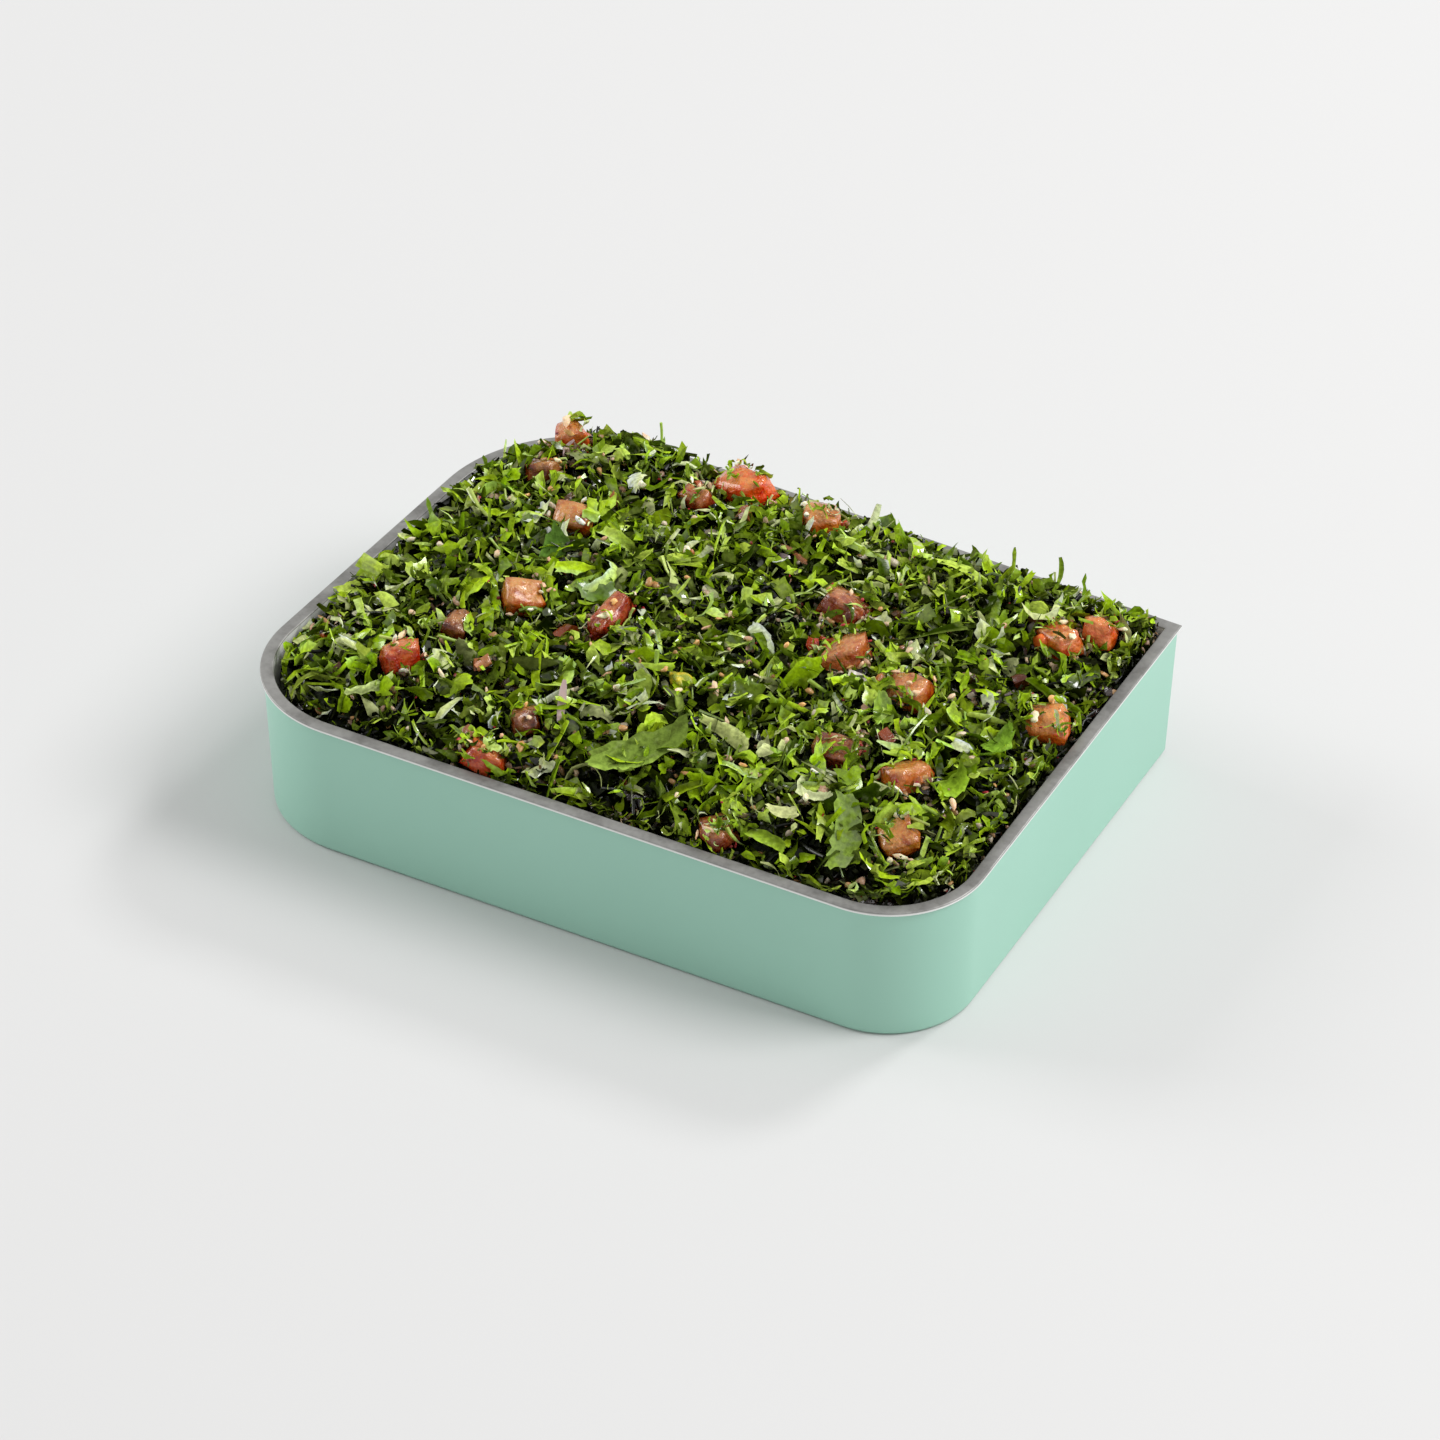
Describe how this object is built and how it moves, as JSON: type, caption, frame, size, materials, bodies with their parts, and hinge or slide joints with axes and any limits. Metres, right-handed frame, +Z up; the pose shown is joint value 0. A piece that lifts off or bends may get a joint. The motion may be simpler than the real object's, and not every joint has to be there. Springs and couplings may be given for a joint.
{
  "type": "tabbouleh salad in its dish",
  "caption": "Tabbouleh salad of chopped parsley, bulgur and tomato, heaped in a shallow mint dish with a flat steel rim.",
  "frame": {"origin": "middle of the dish's underside, on the surface that it stands on", "axes": "+X along the dish's long side, towards the end with the square corner, +Y towards the back side that has the square corner, +Z up out of the dish"},
  "size_m": [0.227, 0.1666, 0.0616],
  "materials": {
    "mint_plastic": "satin mint, smooth",
    "steel": "dull bare steel, faintly mottled",
    "parsley": null,
    "tomato": null,
    "bulgur": null,
    "onion": null
  },
  "bodies": {
    "root": {"casing": "mint_plastic", "liner": "steel", "salad": "parsley", "tomato_01": "tomato", "tomato_02": "tomato", "tomato_03": "tomato", "tomato_04": "tomato", "tomato_05": "tomato", "tomato_06": "tomato", "tomato_07": "tomato", "tomato_08": "tomato", "tomato_09": "tomato", "tomato_10": "tomato", "tomato_11": "tomato", "tomato_12": "tomato", "tomato_13": "tomato", "tomato_14": "tomato", "tomato_15": "tomato", "tomato_16": "tomato", "tomato_17": "tomato", "tomato_18": "tomato", "tomato_19": "tomato", "tomato_20": "tomato", "tomato_21": "tomato", "tomato_22": "tomato"}
  },
  "joints": []
}
